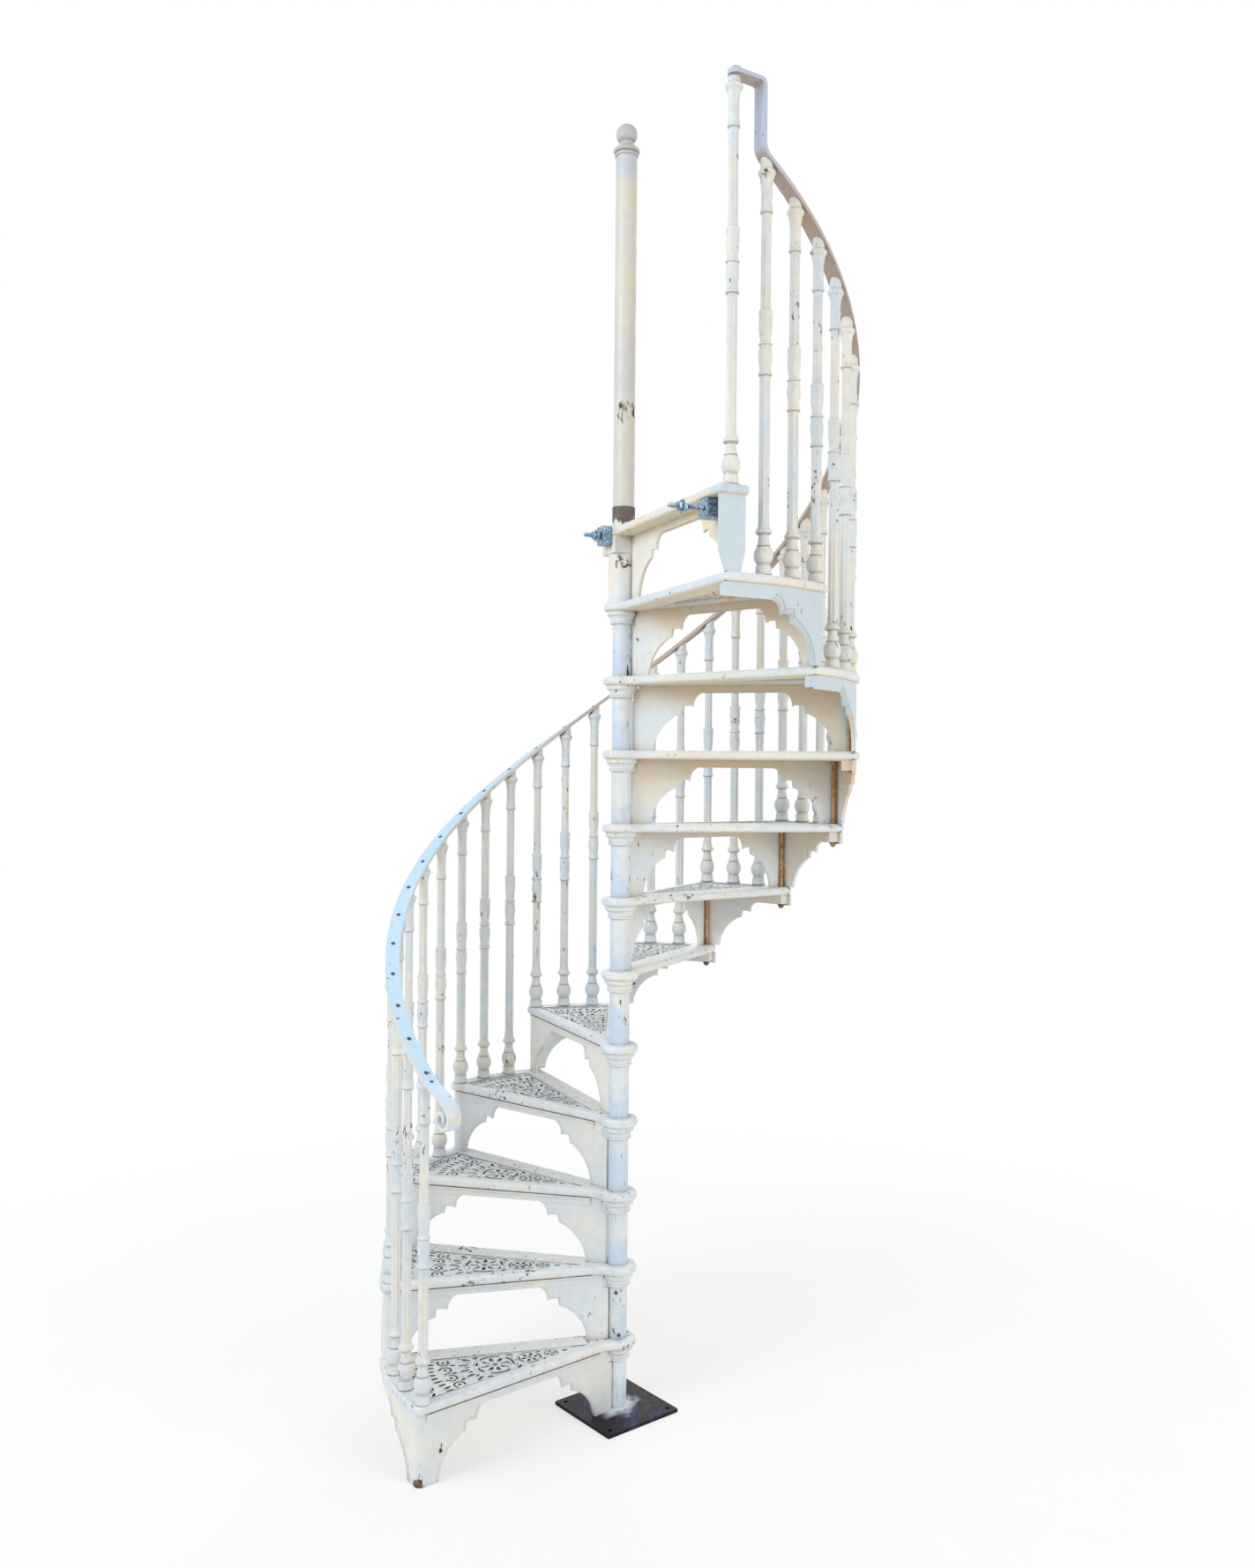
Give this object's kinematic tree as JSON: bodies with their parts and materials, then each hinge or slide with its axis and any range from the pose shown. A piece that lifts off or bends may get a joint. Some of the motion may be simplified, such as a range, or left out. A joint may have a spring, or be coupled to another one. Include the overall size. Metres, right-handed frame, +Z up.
{
  "type": "spiral staircase",
  "caption": "Cast-iron spiral staircase: pierced fan treads and fretwork risers on a central column, turned balusters and a helical handrail.",
  "frame": {"origin": "centre of the base plate's underside, on the column's axis, at floor level", "axes": "+Z up along the column; +Y away from the side the stair is seen from; the stair climbs clockwise seen from above, its first nosing at 220 degrees and its last at -66 degrees, anticlockwise from +X"},
  "size_m": [1.3159, 1.2713, 3.606],
  "materials": {
    "base_steel": "blackened steel plate with pale overspray round the column",
    "bare_steel": "bare steel",
    "rusty_steel": "bare brown steel",
    "rod_steel": "steel with a thin brown rust stain",
    "zinc_steel": "zinc-plated steel",
    "rail_paint": "worn white paint on wrought steel",
    "cream_paint": "chipped cream-white paint on cast iron"
  },
  "bodies": {
    "root": {"baluster_landing": "cream_paint", "balusters_middle": "cream_paint", "balusters_short": "cream_paint", "balusters_tall": "cream_paint", "base_plate": "base_steel", "centre_pole": "bare_steel", "column_sleeves": "cream_paint", "handrail": "rail_paint", "landing_fixing_inner": "zinc_steel", "landing_fixing_outer": "zinc_steel", "landing_sleeve": "cream_paint", "landing_strip": "cream_paint", "newel_coupling": "rusty_steel", "newel_finial": "cream_paint", "newel_post": "cream_paint", "rail_landing_bend": "rail_paint", "rail_volute": "rail_paint", "riser_01": "cream_paint", "riser_02": "cream_paint", "riser_03": "cream_paint", "riser_04": "cream_paint", "riser_05": "cream_paint", "riser_06": "cream_paint", "riser_07": "cream_paint", "riser_08": "cream_paint", "riser_09": "cream_paint", "riser_10": "cream_paint", "riser_11": "cream_paint", "riser_12": "cream_paint", "tie_rods": "rod_steel", "tread_01": "cream_paint", "tread_02": "cream_paint", "tread_03": "cream_paint", "tread_04": "cream_paint", "tread_05": "cream_paint", "tread_06": "cream_paint", "tread_07": "cream_paint", "tread_08": "cream_paint", "tread_09": "cream_paint", "tread_10": "cream_paint", "tread_11": "cream_paint"}
  },
  "joints": []
}
